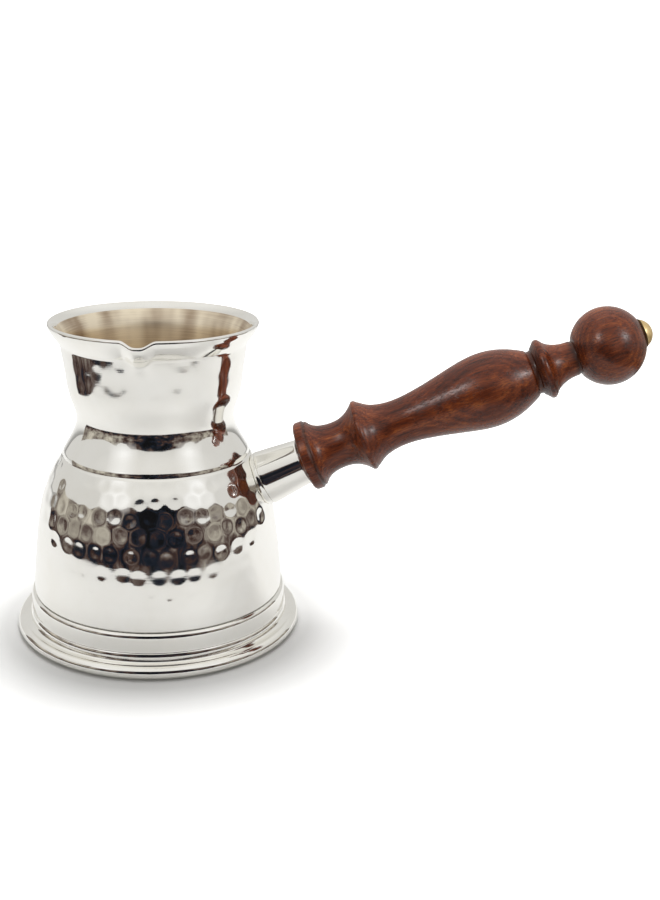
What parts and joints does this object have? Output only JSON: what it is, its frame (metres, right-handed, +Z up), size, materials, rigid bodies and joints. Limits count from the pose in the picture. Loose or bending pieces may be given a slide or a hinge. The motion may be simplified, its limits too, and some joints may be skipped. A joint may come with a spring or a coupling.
{
  "type": "coffee pot with long handle",
  "caption": "Small hammered metal coffee pot with a waisted neck, pinched pouring beak, rolled foot ring and a turned wooden handle drawn onto a conical socket by a tie rod.",
  "frame": {"origin": "centre of the pot's flat underside, on the surface it stands on", "axes": "+Z up along the pot's axis, +X towards the rising handle, the pouring beak towards -Y"},
  "size_m": [0.1989, 0.0922, 0.1068],
  "materials": {
    "silvered_metal": "polished silver plate, hammered on the belly and brushed inside",
    "brass": "satin",
    "handle_wood": "semi-gloss lacquer on red-brown hardwood",
    "rod_steel": "drawn"
  },
  "bodies": {
    "root": {"pot_body": "silvered_metal", "foot_ring": "silvered_metal", "socket_collar": "silvered_metal", "handle_socket": "silvered_metal", "rod_anchor": "brass", "wooden_handle": "handle_wood", "tie_rod": "rod_steel", "washer": "brass", "dome_nut": "brass"}
  },
  "joints": []
}
